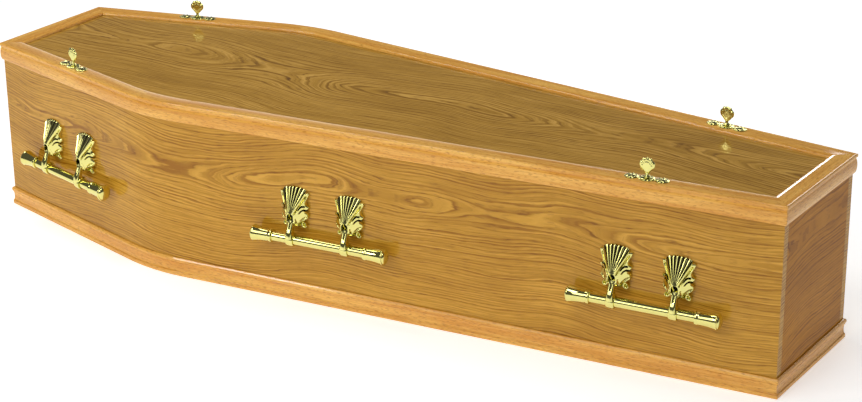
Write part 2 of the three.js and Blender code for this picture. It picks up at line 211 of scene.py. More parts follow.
def arc(centre, radii, start, stop, steps):
    """Points of a round stretch in a section, angles in degrees."""
    points = []
    for i in range(steps + 1):
        angle = math.radians(start + (stop - start) * i / steps)
        across = centre[0] + radii[0] * math.cos(angle)
        points.append((across, centre[1] + radii[1] * math.sin(angle)))
    return points


def ring_faces(first, rings, count):
    """Faces between closed rings of points that follow each other."""
    faces = []
    for ring in range(first, first + (rings - 1) * count, count):
        for i in range(count):
            j = (i + 1) % count
            faces.append((ring + i, ring + j, ring + count + j, ring + count + i))
    return faces


def fan_faces(tip, first, count):
    """Faces from a point to a closed ring."""
    return [(tip, first + i, first + (i + 1) % count) for i in range(count)]


def tube_faces(rings, count):
    """Faces of closed rings of points that follow each other, with a cap at each end."""
    last = (rings - 1) * count
    caps = [tuple(range(count)), tuple(range(last + count - 1, last - 1, -1))]
    return ring_faces(0, rings, count) + caps


def swept(rows, section, side):
    """Points, faces and UVs of a closed section in millimetres carried along a side's rows."""
    sign = 1 if side == "left" else -1
    section = [(offset * mm, z * mm) for offset, z in section]
    count = len(section)
    girth = [0.0]
    for i in range(count):
        a, b = Vector(section[i]), Vector(section[(i + 1) % count])
        girth.append(girth[-1] + (b - a).length)
    points = []
    for row, _ in rows:
        for offset, z in section:
            at = row(offset)
            points.append((at.x, at.y * sign, z))
    faces, uvs = tube_faces(len(rows), count), []
    for (_, low), (_, high) in zip(rows, rows[1:]):
        for near, far in zip(girth, girth[1:]):
            uvs.append(((low, near), (low, far), (high, far), (high, near)))
    uvs += [tuple(section), tuple(reversed(section))]
    return points, faces, uvs


def place_swept(name, rows, section, side, shift, material, node):
    """Places a swept piece of the case, with its grain shifted along it."""
    points, faces, uvs = swept(rows, section, side)
    uvs = [tuple((u + shift, v) for u, v in face) for face in uvs]
    place(name, finish_mesh(name, points, faces, uvs), material, "case", node)


def lathe(profile, steps, axis="X"):
    """Points and faces of a profile of (radius, along) turned about an axis, in metres.
    A profile that starts and ends on the axis is a solid, and any other is a closed ring."""
    solid = profile[0][0] == 0 and profile[-1][0] == 0
    rings = profile[1:-1] if solid else profile
    points = []
    for radius, along in rings:
        for i in range(steps):
            turn = 2 * math.pi * i / steps
            a, b = radius * mm * math.cos(turn), radius * mm * math.sin(turn)
            points.append((along * mm, a, b) if axis == "X" else (a, b, along * mm))
    faces = ring_faces(0, len(rings), steps)
    last = (len(rings) - 1) * steps
    if solid:
        for first, (_, along) in ((0, profile[0]), (last, profile[-1])):
            faces += fan_faces(len(points), first, steps)
            points.append((along * mm, 0, 0) if axis == "X" else (0, 0, along * mm))
    else:
        faces += [(last + i, last + (i + 1) % steps, (i + 1) % steps, i) for i in range(steps)]
    return points, faces


def joined(*shells):
    """Several shells of points and faces as one."""
    points, faces = [], []
    for shell_points, shell_faces in shells:
        base = len(points)
        points += shell_points
        faces += [tuple(i + base for i in face) for face in shell_faces]
    return points, faces


def smooth(low, high, value):
    """Smooth step from 0 at low to 1 at high."""
    share = min(1.0, max(0.0, (value - low) / (high - low)))
    return share * share * (3 - 2 * share)


def mixed(keys, value):
    """Value at a place in a list of (place, value), on a smooth curve through them all."""
    if value <= keys[0][0]:
        return keys[0][1]
    if value >= keys[-1][0]:
        return keys[-1][1]
    i = max(k for k in range(len(keys) - 1) if keys[k][0] <= value)
    (a, low), (b, high) = keys[i], keys[i + 1]
    before, after = keys[max(i - 1, 0)], keys[min(i + 2, len(keys) - 1)]
    width = b - a
    slope_in = (high - before[1]) / (b - before[0]) * width
    slope_out = (after[1] - low) / (after[0] - a) * width
    t = (value - a) / width
    curve = (2 * t ** 3 - 3 * t ** 2 + 1) * low + (t ** 3 - 2 * t ** 2 + t) * slope_in
    return curve + (3 * t ** 2 - 2 * t ** 3) * high + (t ** 3 - t ** 2) * slope_out


# Materials

def linear(code):
    """An sRGB hex colour as linear RGBA."""
    parts = [int(code[i:i + 2], 16) / 255 for i in (0, 2, 4)]
    return [c / 12.92 if c <= 0.04045 else ((c + 0.055) / 1.055) ** 2.4 for c in parts] + [1.0]


def add(tree, kind, inputs=None, **settings):
    """Adds a node. An input is a value, a socket, or a node whose first output is meant."""
    node = tree.nodes.new("ShaderNode" + kind)
    for name, value in settings.items():
        setattr(node, name, value)
    for name, value in (inputs or {}).items():
        if isinstance(value, bpy.types.Node):
            value = value.outputs[0]
        if isinstance(value, bpy.types.NodeSocket):
            tree.links.new(value, node.inputs[name])
        else:
            node.inputs[name].default_value = value
    return node


def new_material(name):
    material = bpy.data.materials.new(name)
    material.use_nodes = True
    material.node_tree.nodes.clear()
    return material, material.node_tree


def finish_material(tree, shader):
    add(tree, "OutputMaterial", {"Surface": shader})


def lacquer(tree, colour, marks, gloss, haze):
    """Finishes oak under clear lacquer, in which its pores or flecks leave a trace."""
    bump = add(tree, "Bump", {"Strength": 0.1, "Distance": 0.0004, "Height": marks}, invert=True)
    finish_material(tree, add(tree, "BsdfPrincipled", {
        "Base Color": colour.outputs[2], "Roughness": 0.5, "Specular IOR Level": 0.0,
        "Normal": bump, "Coat Weight": gloss, "Coat Roughness": haze, "Coat IOR": 1.5,
    }))


def veneer(name, colours, ring_mm, seed, pith, depths, gloss):
    """Flat-cut oak veneer under clear gloss lacquer. The growth rings meet the face at a
    shallow angle, so their dark porous bands run along the board and close in pointed arches.
    colours are the pores', the dark wood's, the middle and the light wood's. pith is where the
    tree's middle lies across the board, and depths are (place along the board, how deep it lies
    under the face there), in metres. gloss is the weight of the lacquer's shine."""
    material, tree = new_material(name)
    along_across = add(tree, "SeparateXYZ", {0: add(tree, "TexCoord").outputs["UV"]})
    along, across = along_across.outputs[0], along_across.outputs[1]

    def figure(per_m_along, per_m_across, shift, detail, flow=across):
        """Cloudy pattern with its own scale along the board and across the flow of the grain."""
        at = add(tree, "CombineXYZ", {
            0: add(tree, "Math", {0: along, 1: per_m_along}, operation="MULTIPLY"),
            1: add(tree, "Math", {0: flow, 1: per_m_across}, operation="MULTIPLY"),
            2: seed + shift,
        })
        return add(tree, "TexNoise", {"Vector": at, "Scale": 1.0, "Detail": detail})

    # Distance from the pith, whose place and depth under the face wander along the board
    wander = add(tree, "Math", {0: figure(2.4, 0.0, 3.1, 1.0), 1: 0.1, 2: pith - 0.05},
                 operation="MULTIPLY_ADD")
    aside = add(tree, "Math", {0: across, 1: wander}, operation="SUBTRACT")
    first, last, deepest = depths[0][0], depths[-1][0], 0.2
    place_in = add(tree, "MapRange", {0: along, 1: first, 2: last, 3: 0.0, 4: 1.0})
    course = add(tree, "FloatCurve", {"Value": place_in})
    knots = course.mapping.curves[0].points
    for _ in depths[2:]:
        knots.new(0.5, 0.5)
    for knot, (at_place, value) in zip(knots, depths):
        knot.location = ((at_place - first) / (last - first), value / deepest)
    course.mapping.update()
    depth = add(tree, "Math", {0: course, 1: deepest}, operation="MULTIPLY")
    aside_square = add(tree, "Math", {0: aside, 1: aside}, operation="MULTIPLY")
    square = add(tree, "Math", {0: depth, 1: depth, 2: aside_square}, operation="MULTIPLY_ADD")
    radius = add(tree, "Math", {0: square}, operation="SQRT")
    for per_m_along, per_m_across, shift, reach in (
        (2.0, 8.0, 1.3, 0.022), (8.0, 45.0, 5.9, 0.009), (40.0, 260.0, 6.6, 0.0014),
    ):
        bend = figure(per_m_along, per_m_across, shift, 2.0)
        radius = add(tree, "Math", {0: bend, 1: reach, 2: radius}, operation="MULTIPLY_ADD")

    # Each ring has a strength of its own, starts dark and porous, and fades
    ring = add(tree, "Math", {0: radius, 1: 1000 / ring_mm}, operation="MULTIPLY")
    number = add(tree, "Math", {0: ring}, operation="FLOOR")
    share = add(tree, "Math", {0: ring}, operation="FRACT")
    strength = add(tree, "TexWhiteNoise", {"W": number}, noise_dimensions="1D")
    rise = add(tree, "MapRange", {0: share, 1: 0.0, 2: 0.12, 3: 0.0, 4: 1.0},
               interpolation_type="SMOOTHSTEP")
    fade = add(tree, "MapRange", {0: share, 1: 0.12, 2: 0.7, 3: 1.0, 4: 0.0},
               interpolation_type="SMOOTHSTEP")
    band = add(tree, "Math", {0: rise, 1: fade}, operation="MULTIPLY")
    level = add(tree, "Math", {0: strength, 1: 1.0, 2: 0.05}, operation="MULTIPLY_ADD")
    band = add(tree, "Math", {0: band, 1: level}, operation="MULTIPLY")

    # Fine streaks 3 mm apart and pores 1.5 mm wide and 30 mm long, drawn wider than life to show
    streak = figure(7.0, 330.0, 11.0, 3.0, radius)
    pore = figure(32.0, 640.0, 17.0, 2.0, radius)
    cloud = figure(2.5, 11.0, 23.0, 2.0)
    tone = -0.72
    for part, weight in ((band, 0.62), (streak, 1.4), (cloud, 0.7)):
        tone = add(tree, "Math", {0: part, 1: weight, 2: tone}, operation="MULTIPLY_ADD")
    ramp = add(tree, "ValToRGB", {0: tone})
    light, dark = ramp.color_ramp.elements
    light.position, light.color = 0.05, linear(colours[3])
    dark.position, dark.color = 0.95, linear(colours[1])
    ramp.color_ramp.elements.new(0.45).color = linear(colours[2])
    open_pore = add(tree, "MapRange", {0: pore, 1: 0.52, 2: 0.68, 3: 0.0, 4: 1.0},
                    interpolation_type="SMOOTHSTEP")
    porous = add(tree, "Math", {0: band, 1: 0.7, 2: 0.3}, operation="MULTIPLY_ADD")
    open_pore = add(tree, "Math", {0: open_pore, 1: porous}, operation="MULTIPLY")
    colour = add(tree, "Mix", {0: open_pore, 6: ramp, 7: linear(colours[0])}, data_type="RGBA")
    lacquer(tree, colour, open_pore, gloss, 0.07)
    return material


def solid_oak(name, colours):
    """Machined oak moulding, lacquered: straight fine grain with short darker flecks.
    colours are the flecks', the dark grain's and the light grain's."""
    material, tree = new_material(name)
    along_grain = add(tree, "TexCoord").outputs["UV"]

    def figure(per_m_along, per_m_across, shift, detail):
        at = add(tree, "Mapping", {
            "Vector": along_grain, "Scale": (per_m_along, per_m_across, 1.0),
            "Location": (shift, shift, shift),
        })
        return add(tree, "TexNoise", {"Vector": at, "Scale": 1.0, "Detail": detail})

    broad = figure(4.0, 70.0, 1.7, 2.0)
    grain = figure(16.0, 420.0, 4.2, 3.0)
    fleck = figure(90.0, 420.0, 8.8, 2.0)
    tone = 0.0
    for part, weight in ((broad, 0.9), (grain, 0.75)):
        tone = add(tree, "Math", {0: part, 1: weight, 2: tone}, operation="MULTIPLY_ADD")
    ramp = add(tree, "ValToRGB", {0: tone})
    light, dark = ramp.color_ramp.elements
    light.position, light.color = 0.55, linear(colours[2])
    dark.position, dark.color = 1.05, linear(colours[1])
    mark = add(tree, "MapRange", {0: fleck, 1: 0.52, 2: 0.68, 3: 0.0, 4: 0.55},
               interpolation_type="SMOOTHSTEP")
    colour = add(tree, "Mix", {0: mark, 6: ramp, 7: linear(colours[0])}, data_type="RGBA")
    lacquer(tree, colour, mark, 0.8, 0.08)
    return material


def bare_board(name, colours):
    """Unlacquered particle board of the base: pressed chips of 3 mm under a thin sealer."""
    material, tree = new_material(name)
    place_in = add(tree, "TexCoord").outputs["Object"]
    at = add(tree, "Mapping", {"Vector": place_in, "Scale": (1.0, 1.6, 1.0)})
    chip = add(tree, "TexVoronoi", {"Vector": at, "Scale": 330.0})
    cloud = add(tree, "TexNoise", {"Vector": place_in, "Scale": 6.0, "Detail": 3.0})
    tint = add(tree, "SeparateXYZ", {0: chip.outputs["Color"]})
    tone = add(tree, "Math", {0: tint, 1: 0.5}, operation="MULTIPLY")
    tone = add(tree, "Math", {0: cloud, 1: 0.5, 2: tone}, operation="MULTIPLY_ADD")
    colour = add(tree, "Mix", {0: tone, 6: linear(colours[0]), 7: linear(colours[1])},
                 data_type="RGBA")
    bump = add(tree, "Bump", {"Strength": 0.2, "Distance": 0.0003, "Height": tint})
    finish_material(tree, add(tree, "BsdfPrincipled", {
        "Base Color": colour.outputs[2], "Roughness": 0.7, "Normal": bump,
    }))
    return material


def bright_brass(name, colours):
    """Electro-brassed casting: a pale, slightly green mirror with a faint handled haze.
    colours are two of the plating and the dark of the painted shade in the fan's valleys and the
    openings between the leaves."""
    material, tree = new_material(name)
    place_in = add(tree, "TexCoord").outputs["Object"]
    haze = add(tree, "TexNoise", {"Vector": place_in, "Scale": 60.0, "Detail": 3.0})
    rough = add(tree, "MapRange", {0: haze, 1: 0.35, 2: 0.7, 3: 0.035, 4: 0.09})
    tint = add(tree, "Mix", {0: haze, 6: linear(colours[0]), 7: linear(colours[1])},
               data_type="RGBA")
    # Painted shade: the recess attribute darkens the fan's valleys and the openings between the
    # leaves towards the dark colour
    painted_shade = add(tree, "Attribute", attribute_name="painted_shade").outputs["Fac"]
    tint = add(tree, "Mix", {0: painted_shade, 6: tint.outputs[2], 7: linear(colours[2])},
               data_type="RGBA")
    ripple = add(tree, "TexNoise", {"Vector": place_in, "Scale": 200.0, "Detail": 1.0})
    bump = add(tree, "Bump", {"Strength": 0.04, "Distance": 0.0004, "Height": ripple})
    finish_material(tree, add(tree, "BsdfPrincipled", {
        "Base Color": tint.outputs[2], "Metallic": 1.0, "Roughness": rough, "Normal": bump,
    }))
    return material


def painted_shade_lining(name, colours):
    """Painted shade for the blind socket of a casting: dull, dark and grainy, standing in for the
    shade deep in the socket.
    """
    material, tree = new_material(name)
    place_in = add(tree, "TexCoord").outputs["Object"]
    grit = add(tree, "TexNoise", {"Vector": place_in, "Scale": 500.0, "Detail": 2.0})
    colour = add(tree, "Mix", {0: grit, 6: linear(colours[0]), 7: linear(colours[1])},
                 data_type="RGBA")
    bump = add(tree, "Bump", {"Strength": 0.3, "Distance": 0.0003, "Height": grit})
    finish_material(tree, add(tree, "BsdfPrincipled", {
        "Base Color": colour.outputs[2], "Roughness": 0.6, "Normal": bump,
    }))
    return material


side_oak = veneer(
    "oak_veneer_side", ("7c4a0a", "9c6612", "be8a28", "d9a33e"), 6.0, 4.0, 0.265,
    [(0.0, 0.015), (0.25, 0.022), (0.5, 0.036), (0.62, 0.042), (0.68, 0.038), (0.82, 0.02),
     (0.95, 0.016), (1.1, 0.03), (1.18, 0.028), (1.38, 0.038), (1.52, 0.034), (1.72, 0.018),
     (1.96, 0.01)], 0.6,
)
lid_oak = veneer(
    "oak_veneer_lid", ("724c1e", "8e6420", "b68832", "d6a64e"), 7.0, 9.0, 0.02,
    [(-0.98, 0.02), (-0.72, 0.06), (-0.6, 0.05), (-0.3, 0.085), (-0.1, 0.035), (0.2, 0.02),
     (0.5, 0.06), (0.75, 0.045), (0.98, 0.02)], 0.8,
)
# The ends take a darker copy of the side veneer's colours: painted shade on end faces that the key
# light reaches less
end_oak_painted_shade = veneer(
    "oak_veneer_end_painted_shade", ("724210", "8e5814", "b4761e", "ca8a2a"), 6.0, 14.0, 0.3,
    [(-2.35, 0.02), (-2.1, 0.05), (-1.65, 0.02), (1.65, 0.02), (1.95, 0.05), (2.35, 0.03)], 0.3,
)
moulding_oak = solid_oak("solid_oak_moulding", ("b4722c", "dc9a3e", "fac462"))
chipboard = bare_board("bare_chipboard", ("c9a36c", "9a7440"))
brass = bright_brass("bright_brass_plating", ("e4df90", "dad37c", "3c352c"))
socket_painted_shade = painted_shade_lining("painted_shade_lining", ("0b0a08", "1c1912"))


# Boards

def side_boards():
    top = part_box("side_panel_left")[1].z / mm
    low_edge = top - edge_bevel
    section = [(0, 0), (0, low_edge), (-edge_bevel, top), (edge_bevel - board_thickness, top)]
    section += [(-board_thickness, low_edge), (-board_thickness, 0)]
    rows = side_rows(None, None, lambda offset: 0)
    for side in ("right", "left"):
        place_swept(f"side_board_{side}", rows, section, side, 0, side_oak,
                    f"side_panel_{side}")


def flat_board(name, plan, low, high, material, node, grain):
    """A board between two heights, with UVs from grain(point)."""
    points = [(x, y, z) for z in (low, high) for x, y in plan]
    faces = tube_faces(2, len(plan))
    uvs = [tuple(grain(points[i]) for i in face) for face in faces]
    place(name, finish_mesh(name, points, faces, uvs), material, "case", node)


def end_boards():
    # The two ends' veneer comes from places this far to each side of the figure's start
    grain_shift = 2.0
    for end, sign in (("head", -1), ("foot", 1)):
        low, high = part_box(f"{end}_panel")
        inner = end_row(sign, lambda offset: -board_thickness * mm)
        outer = end_row(sign, lambda offset: 0)
        inset = -(board_thickness + gap) * mm
        a, b = outer(inset), inner(inset)
        plan = [(a.x, -a.y), (a.x, a.y), (b.x, b.y), (b.x, -b.y)]
        flat_board(f"{end}_board", plan, low.z, high.z, end_oak_painted_shade, f"{end}_panel",
                   lambda p, shift=sign * grain_shift: (p[1] + shift, p[2]))


def lid_face():
    low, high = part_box("lid_board")
    rows = side_rows(None, None, lambda offset: 0)
    left = [tuple(row(0)) for row, _ in rows]
    plan = left + [(x, -y) for x, y in reversed(left)]
    flat_board("lid_face", plan, low.z, high.z, lid_oak, "lid_board",
               lambda p: (p[0], p[1]))


# Mouldings

def plinth_section():
    """A square foot, a hollow, and a round bead whose upper face is a narrow flat."""
    foot, foot_top, ledge = 5.0, 8.0, 1
    cove, bead, bead_low = 2.0, 6.0, 30.0
    fillet, corner = 0.6, 0.8
    section = [(gap, 0), (foot - fillet, 0), (foot, fillet)]
    section += arc((foot - corner, foot_top - corner), (corner, corner), 0, 90, 4)
    middle = (foot_top + ledge + bead_low) / 2
    hollow = (foot - fillet - cove, (bead_low - foot_top - ledge) / 2)
    section += arc((foot - fillet, middle), hollow, 270, 90, 14)
    half = (plinth_height - bead_low) / 2
    across = half * 0.8
    section += arc((bead - across, plinth_height - half), (across, half), -60, 20, 8)
    # The flat leans back 35 degrees. Its points are in from the bead's face and down from its top
    flat = [(0.2, 3.1), (0.4, 2.8), (1.9, 0.65), (2.1, 0.35), (2.8, 0)]
    section += [(bead - back, plinth_height - down) for back, down in flat]
    return section + [(gap, plinth_height)]


def frame_section():
    """A skirt with a swelling face, a step, a nosing, and a flange that slopes to a bead."""
    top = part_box("lid_moulding_foot")[1].z / mm
    skirt = top - frame_height
    nosing = top - frame_nosing
    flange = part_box("lid_board")[1].z / mm + gap
    inner = -frame_flange
    step = frame_overhang - 2.2
    lip = 0.7
    swell, swell_middle = 4.2, frame_overhang - 4.6
    round_in, round_down = 3.4, 3.2
    section = [(gap, skirt), (1.4, skirt), (1.9, skirt + 0.4)]
    half = (nosing - 1 - skirt) / 2
    section += arc((swell_middle, skirt + half), (swell, half), -62, 60, 14)
    section += [(step, nosing - 0.5), (step, nosing)]
    section += arc((frame_overhang - lip, nosing + lip), (lip, lip), -90, 0, 3)
    section += arc((frame_overhang - round_in, top - round_down), (round_in, round_down), 0, 90, 9)
    section += [(frame_overhang - 3.8, top)]
    bead, bead_foot, slope = 4.0, 0.5, 5.0
    fall = slope * math.tan(math.radians(11))
    # Points close to each edge of the slope keep its shading flat
    edge = 0.12
    section += [(inner + bead + slope + edge, top), (inner + bead + slope, top - 0.02)]
    section += [(inner + bead + edge, top - fall * (1 - edge / slope))]
    bead_height = top - fall - flange - bead_foot
    section += arc((inner + bead, flange + bead_foot), (bead, bead_height), 80, 180, 12)
    return section + [(inner, flange), (gap, flange)]


def end_rows(sign, mitre_gap):
    """Rows of an end moulding from one mitre to the other, as (x, y) for an offset."""
    bearing = head_bearing if sign < 0 else foot_bearing
    corner = head_corner if sign < 0 else foot_corner
    rows = []
    for edge in (-1, 1):
        def row(offset, edge=edge):
            start = corner + outward(bearing) * offset
            x = sign * (half_length + offset)
            y = start.y + (x - start.x) * math.tan(bearing) - mitre_gap
            return Vector((x, edge * y))
        rows.append((row, edge * corner.y))
    return rows


def mouldings():
    # How far each moulding stands back from a mitre, along itself
    mitre_gap = gap * 0.7 * mm
    joint = head_run + bend_run * frame_joint_share
    half_gap = gap / 2 * mm
    frame_parts = (("_head", None, joint - half_gap), ("_foot", joint + half_gap, None))
    for name, node, section, parts in (
        ("plinth", "base_moulding", plinth_section(), (("", None, None),)),
        ("lid_frame", "lid_moulding", frame_section(), frame_parts),
    ):
        for k, side in enumerate(("right", "left")):
            for part, start, stop in parts:
                rows = side_rows(start, stop, lambda offset: offset - mitre_gap)
                shift = 2.3 * k + (0.9 if part == "_foot" else 0)
                place_swept(f"{name}_{side}{part}", rows, section, side, shift, moulding_oak,
                            f"{node}_{side}{part}")
        for end, sign in (("head", -1), ("foot", 1)):
            place_swept(f"{name}_{end}", end_rows(sign, mitre_gap), section, "left", 5.1 + sign,
                        moulding_oak, f"{node}_{end}")


# Handle bar, arm and backplate, each once, in a frame whose X runs along the bar, Y out from
# the side and Z up, with the pin's axis at the origin

def bar_mesh():
    """A rod whose end caps start in a collar, flare in a hollow curve and end in a low dome."""
    half = bar_length / 2
    start = half - cap_length
    collar, neck, rim, dome_radius, dome = 14.2, 13.6, 17.5, 15.0, 6.0
    flare = 2.1
    end = [(bar_radius, start - 0.4), (collar - 0.9, start - 0.2), (collar - 0.2, start + 0.4)]
    end += [(collar, start + 1.2), (collar, start + 5.6), (collar - 0.3, start + 6.4)]
    steps = 14
    for i in range(steps + 1):
        share = i / steps
        radius = neck + (rim - 0.3 - neck) * share ** flare
        end.append((radius, start + 7 + (cap_length - 10) * share))
    end += [(rim, half - 2.4), (rim, half - 0.7), (rim - 0.7, half)]
    dome_foot = half + 0.2
    steps = 10
    for i in range(steps):
        angle = math.radians(90 * i / steps)
        end.append((dome_radius * math.cos(angle), dome_foot + dome * math.sin(angle)))
    end.append((0, dome_foot + dome))
    profile = [(radius, -along) for radius, along in reversed(end)] + end
    points, faces = lathe(profile, 64)
    return finish_mesh("handle_bar", points, faces, sharp=50)


# How far the arm's face and back are out from and in from the pin, at depths below it
arm_front = [(2, 4.3), (8, 7.6), (14, 10.9), (20, 14.0), (24, 15.3), (28, 16.2), (34, 17.3)]
arm_back = [(0, 5.5), (6, 3.6), (14, 0.5), (20, -2.2), (25, -4.0), (34, -4.0)]


def arm_mesh():
    """A strap that hangs from an eye, grooved down its middle, with a ring round the bar."""
    top_width, low_width, eye_narrowing = 12.0, 16.6, 1.6
    groove_depth, groove_half_width = 1.9, 1.8
    # The power that gives the strap's section its rounded corners
    squareness = 0.62
    end = -arm_drop + 5
    heights = [arm_eye * math.sin(math.radians(a)) for a in (89, 75, 60, 45, 30, 15)]
    heights += [end * i / 16 for i in range(17)]
    around = 40
    points = []
    for z in heights:
        down = max(0.0, -z) / -end
        width = top_width + (low_width - top_width) * smooth(0, 1, down)
        round_eye = math.sqrt(max(0.01, arm_eye * arm_eye - z * z)) if z > 0 else arm_eye
        width -= eye_narrowing * (max(0, z) / arm_eye) ** 2
        front = min(round_eye, 3.4 - 0.46 * z) if z > -2 else mixed(arm_front, -z)
        back = round_eye if z > 0 else mixed(arm_back, -z)
        groove = groove_depth * smooth(4.6, 1.0, z) * (1 - 0.75 * smooth(-9, -22, z))
        for i in range(around):
            turn = 2 * math.pi * i / around
            c, s = math.cos(turn), math.sin(turn)
            x = width / 2 * math.copysign(abs(c) ** squareness, c)
            y = (front if s > 0 else back) * math.copysign(abs(s) ** squareness, s)
            if s > 0:
                y -= groove * math.exp(-(x / groove_half_width) ** 2) * min(1, front / 3)
            points.append((x * mm, y * mm, z * mm))
    strap = (points, tube_faces(len(heights), around))

    outer, inner, half = 14.5, 10.8, 8.5
    ring_profile = [(inner, -half + 0.5), (inner + 0.6, -half), (outer - 1.6, -half)]
    for i in range(9):
        share = -1 + i / 4
        ring_profile.append((outer - 0.9 * share ** 4, share * (half - 0.7)))
    ring_profile += [(outer - 1.6, half), (inner + 0.6, half), (inner, half - 0.5)]
    ring_points, ring_sides = lathe(ring_profile, 56)
    ring_points = [(x, y, z - arm_drop * mm) for x, y, z in ring_points]
    pin = lathe([(0, -10), (1.7, -10), (2, -9.6), (2, 9.6), (1.7, 10), (0, 10)], 16)
    points, faces = joined(strap, (ring_points, ring_sides), pin)
    return finish_mesh("handle_arm", points, faces, sharp=40)


# Backplate outline: reach from the socket's middle at an angle from straight up, in degrees
plate_reach = [
    (0, 60), (26, 59.5), (29, 57), (33, 58.5), (36, 58), (40, 44), (46, 38.5), (54, 37.5),
    (61, 38.5), (67, 33), (73, 29), (82, 31), (92, 32), (102, 31.5), (112, 28), (119, 25),
    (124, 31), (130, 37), (137, 38), (143, 35), (148, 28), (152, 25), (158, 25.5), (166, 24.5),
    (180, 22),
]
fan_half_angle = 26
fan_flutes = 6
flute_depth = 2.6
scallop_depth = 2.8
# How much the fan falls away to its sides, per square millimetre across
fan_dome = 0.006
# Heights of the fan and of the leaves off the side, at distances from the socket's middle
fan_profile = [(0, 29), (9, 27.6), (20, 23.2), (34, 16.6), (48, 9.8), (60, 4.4)]
leaf_profile = [(0, 28), (9, 26.4), (15, 21.5), (22, 15), (29, 9), (36, 5.2), (46, 3.4)]
# Openings between the leaves, sunk to the rim and darkened by painted shade: points across and up
# from the socket, and half widths at the first and the last point
plate_slits = [
    ([(25.0, 21.0), (21.5, 21.8), (18.5, 19.5), (15.5, 14.5)], 1.5, 0.6),
    ([(29.0, 11.5), (25.0, 14.0), (21.0, 12.8), (17.5, 7.5)], 1.6, 0.6),
]
# Shallow lines on the leaves: points, half width and depth
plate_lines = [
    ([(9.0, 7.0), (17.0, 22.0), (28.0, 42.0)], 1.3, 4.0),
    ([(11.6, -4.0), (12.4, -15.0)], 1.0, 1.8),
    ([(28.0, -3.0), (24.0, -4.5), (20.0, -9.5)], 1.3, 2.5),
]
# The curl at the foot of each leaf: a ring of round section about a hollow eye
curl_centre = (22.0, -20.5)
curl_radius = 5.6
curl_half_width = 3.0
curl_foot = 4.5
curl_rise = 3.6
curl_eye_height = 1.5
# The plate's rim: its thickness and how far in from it the face rounds over
plate_rim = 1.2
plate_rim_round = 3.0


def from_path(x, y, path):
    """Distance from the nearest place on a path of points, and the share of the way along it."""
    nearest = []
    for i in range(len(path) - 1):
        a, b = path[i], path[i + 1]
        dx, dy = b[0] - a[0], b[1] - a[1]
        share = max(0.0, min(1.0, ((x - a[0]) * dx + (y - a[1]) * dy) / (dx * dx + dy * dy)))
        away = math.hypot(x - a[0] - dx * share, y - a[1] - dy * share)
        nearest.append((away, (i + share) / (len(path) - 1)))
    return min(nearest)


def flute_wave(angle):
    """0 on the middle of a flute's ridge, 1 in the valley beside it."""
    place_in = (angle + fan_half_angle) / (2 * fan_half_angle) * fan_flutes
    return 2 * abs(place_in - math.floor(place_in) - 0.5)


def plate_height(angle, distance, reach):
    """Height of the backplate's face off the side, in millimetres."""
    turned = abs(angle)
    across = distance * math.sin(math.radians(turned))
    up = distance * math.cos(math.radians(turned))
    fan = mixed(fan_profile, distance) - fan_dome * across * across
    if turned < fan_half_angle + 3:
        fan -= flute_depth * smooth(6, 36, distance) * flute_wave(angle) ** 2
    # The leaves fall away sideways more than up or down
    leaf = mixed(leaf_profile, math.hypot(across, (0.28 if up > 0 else 0.75) * up))
    height = fan + (leaf - fan) * smooth(fan_half_angle - 1.5, fan_half_angle + 3, turned)
    for path, half_width, depth in plate_lines:
        away, _ = from_path(across, up, path)
        height -= depth * math.exp(-(away / half_width) ** 2)
    for path, wide, narrow in plate_slits:
        away, along = from_path(across, up, path)
        half_width = wide + (narrow - wide) * along
        open_share = smooth(half_width - 0.4, half_width + 0.5, away)
        height = plate_rim + (height - plate_rim) * open_share
    away = math.hypot(across - curl_centre[0], up - curl_centre[1])
    if away < curl_radius + curl_half_width + 0.2:
        beside = (away - curl_radius) / curl_half_width
        tube = curl_foot + curl_rise * math.sqrt(max(0.0, 1 - beside ** 2))
        height = curl_eye_height + (tube - curl_eye_height) * smooth(1.6, 3.4, away)
    rim = min(1.0, max(0.0, reach - distance) / plate_rim_round)
    swell = 0.25 + 0.75 * math.sqrt(1 - (1 - rim) ** 2)
    return plate_rim + max(0.0, height - plate_rim) * swell


def plate_painted_shade(angle, distance):
    """Share of painted shade, which darkens the fan's valleys and the openings where shade falls.
    """
    turned = abs(angle)
    across = distance * math.sin(math.radians(turned))
    up = distance * math.cos(math.radians(turned))
    dark = 0.0
    if turned < fan_half_angle + 1:
        dark = smooth(0.35, 0.8, flute_wave(angle)) * smooth(9, 20, distance)
    for path, wide, narrow in plate_slits:
        away, along = from_path(across, up, path)
        half_width = wide + (narrow - wide) * along
        dark = max(dark, 1 - smooth(half_width - 0.2, half_width + 0.5, away))
    return dark


def cut_out(piece, plan, floor, lining):
    """Cuts a straight hole with a plan of (x, z) into a piece, from in front down to a floor."""
    in_front = 20
    points = [(x * mm, y * mm, z * mm) for y in (floor, in_front) for x, z in plan]
    cutter = new_object("plate_cutter", finish_mesh("cutter", points, tube_faces(2, len(plan))))
    cutter.data.materials.append(lining)
    cut = piece.modifiers.new("cut", "BOOLEAN")
    cut.object = cutter
    cut.operation = "DIFFERENCE"
    cut.solver = "EXACT"
    cut.material_mode = "TRANSFER"
    bpy.context.view_layer.update()
    graph = bpy.context.evaluated_depsgraph_get()
    cut_mesh = bpy.data.meshes.new_from_object(piece.evaluated_get(graph))
    piece.modifiers.clear()
    piece.data = cut_mesh
    bpy.data.objects.remove(cutter)


